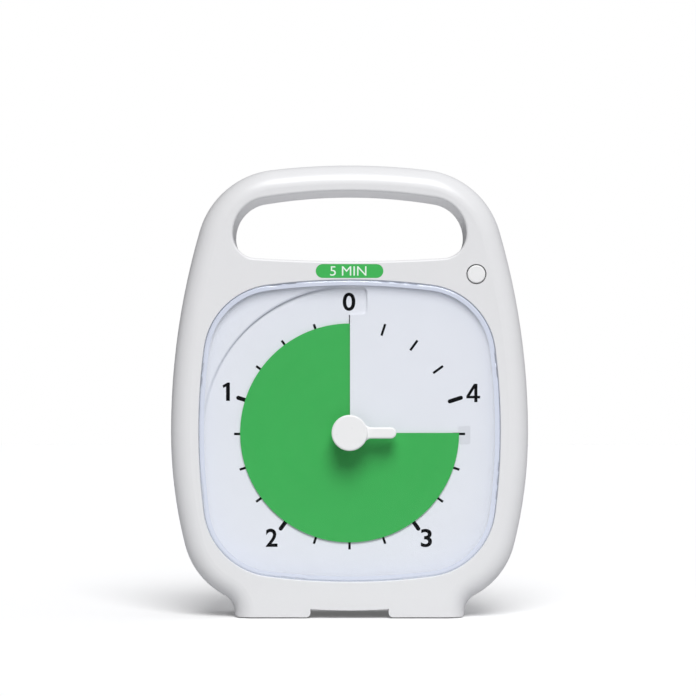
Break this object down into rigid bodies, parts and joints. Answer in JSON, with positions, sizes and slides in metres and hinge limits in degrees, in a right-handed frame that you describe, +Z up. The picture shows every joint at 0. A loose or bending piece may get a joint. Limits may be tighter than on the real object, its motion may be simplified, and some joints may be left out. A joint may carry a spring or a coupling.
{
  "type": "countdown timer",
  "caption": "Upright handled countdown timer with a clear square window, a coloured disk behind it, a central setting knob, a push button, a sound unit and a battery bay.",
  "frame": {"origin": "middle of the footprint on the supporting surface, directly below the middle of the overall box", "axes": "+Z up, +Y from the dial towards the back, +X to the viewer's right when facing the dial"},
  "size_m": [0.1408, 0.05, 0.178],
  "materials": {
    "housing": "satin white moulded ABS",
    "knob": "satin white moulded plastic",
    "clear": "clear polycarbonate",
    "label": "printed self-adhesive film, green with pale lettering",
    "dial": "printed white polystyrene sheet",
    "carrier": "pale moulded ABS",
    "disk": "green plastic film, satin",
    "acetal": "natural acetal",
    "steel": "bright zinc-plated steel",
    "spring": "spring steel",
    "brass": "turned brass",
    "magnet": "sintered ferrite",
    "movement": "black moulded ABS",
    "iron": "soft magnetic iron",
    "coil": "enamelled copper wire, copper stood in for by brass",
    "board": "green glass-fibre circuit board",
    "black": "black moulded plastic or resin",
    "can": "drawn metal can",
    "plug": "natural nylon",
    "cone": "black pressed paper",
    "cell": "plain dark sleeve on a steel can",
    "red_wire": "red insulated wire",
    "black_wire": "black insulated wire",
    "grey_wire": "grey insulated wire",
    "pad": "dark grey soft rubber"
  },
  "bodies": {
    "housing_group": {"front_shell": "housing", "rear_shell": "housing", "foot_pads": "pad", "shell_screws": "steel", "lens": "clear", "duration_label": "label", "dial_face": "dial", "dial_carrier": "carrier", "carrier_screws": "steel", "spindle_bush": "brass", "movement_frame": "movement", "movement_cover": "movement", "movement_screws": "steel", "stator": "iron", "coil_core": "iron", "coil_bobbin": "plug", "coil_winding": "coil", "movement_board": "board", "quartz_crystal": "can", "movement_chip": "black", "button_switch": "black", "button_board": "board", "control_board": "board", "board_screws": "steel", "sound_chip": "black", "capacitor": "can", "battery_plug": "plug", "speaker_plug": "plug", "speaker_frame": "can", "speaker_cone": "cone", "volume_control": "can", "battery_cell": "cell", "positive_contact": "spring", "negative_contact": "spring", "battery_lead_red": "red_wire", "battery_lead_black": "black_wire", "speaker_leads": "grey_wire", "button_leads": "grey_wire", "movement_leads": "grey_wire"},
    "spindle_group": {"setting_knob": "knob", "spindle": "acetal", "retaining_clip": "spring", "clutch_spring": "spring"},
    "disk_group": {"countdown_disk": "disk", "disk_hub": "acetal"},
    "rotor_group": {"rotor_pinion": "acetal", "rotor_magnet": "magnet"},
    "second_wheel_group": {"second_wheel": "acetal"},
    "third_wheel_group": {"third_wheel": "acetal"},
    "centre_wheel_group": {"centre_wheel": "acetal"},
    "button_group": {"push_button": "knob"},
    "volume_group": {"volume_knob": "knob", "volume_shaft": "acetal"},
    "door_group": {"battery_door": "housing"}
  },
  "joints": [
    {"name": "spindle_turn", "type": "hinge", "parent": "housing_group", "child": "spindle_group", "pos_m": [0, -0.02, 0.0726], "axis": [0, -1, 0], "range_deg": [-270, 90]},
    {"name": "disk_screw", "type": "slide", "parent": "spindle_group", "child": "disk_group", "axis": [0, -1, 0], "range_m": [-0.0012, 0.0004]},
    {"name": "rotor_turn", "type": "hinge", "parent": "housing_group", "child": "rotor_group", "pos_m": [0.00848, 0, 0.05817], "axis": [0, -1, 0], "continuous": true},
    {"name": "second_wheel_turn", "type": "hinge", "parent": "housing_group", "child": "second_wheel_group", "pos_m": [0.00003, 0, 0.05509], "axis": [0, -1, 0], "continuous": true},
    {"name": "third_wheel_turn", "type": "hinge", "parent": "housing_group", "child": "third_wheel_group", "pos_m": [-0.01125, 0, 0.05919], "axis": [0, -1, 0], "continuous": true},
    {"name": "centre_wheel_turn", "type": "hinge", "parent": "housing_group", "child": "centre_wheel_group", "pos_m": [0, 0.003, 0.0726], "axis": [0, -1, 0], "continuous": true},
    {"name": "button_press", "type": "slide", "parent": "housing_group", "child": "button_group", "axis": [0, 1, 0], "range_m": [0, 0.0008], "stiffness_N_per_m": 1500, "springref_m": -0.0005},
    {"name": "volume_turn", "type": "hinge", "parent": "housing_group", "child": "volume_group", "pos_m": [0.034, 0.015, 0.112], "axis": [0, 1, 0], "range_deg": [-135, 135]},
    {"name": "battery_door_open", "type": "hinge", "parent": "housing_group", "child": "door_group", "pos_m": [0, 0.02318, 0.0204], "axis": [-1, 0, 0], "range_deg": [0, 90]}
  ],
  "couplings": [
    {"joint": "disk_screw", "follows": "spindle_turn", "m_per_rad": 0.00025465},
    {"joint": "second_wheel_turn", "follows": "rotor_turn", "ratio": -0.2},
    {"joint": "third_wheel_turn", "follows": "rotor_turn", "ratio": 0.04},
    {"joint": "centre_wheel_turn", "follows": "rotor_turn", "ratio": -0.0066667}
  ]
}
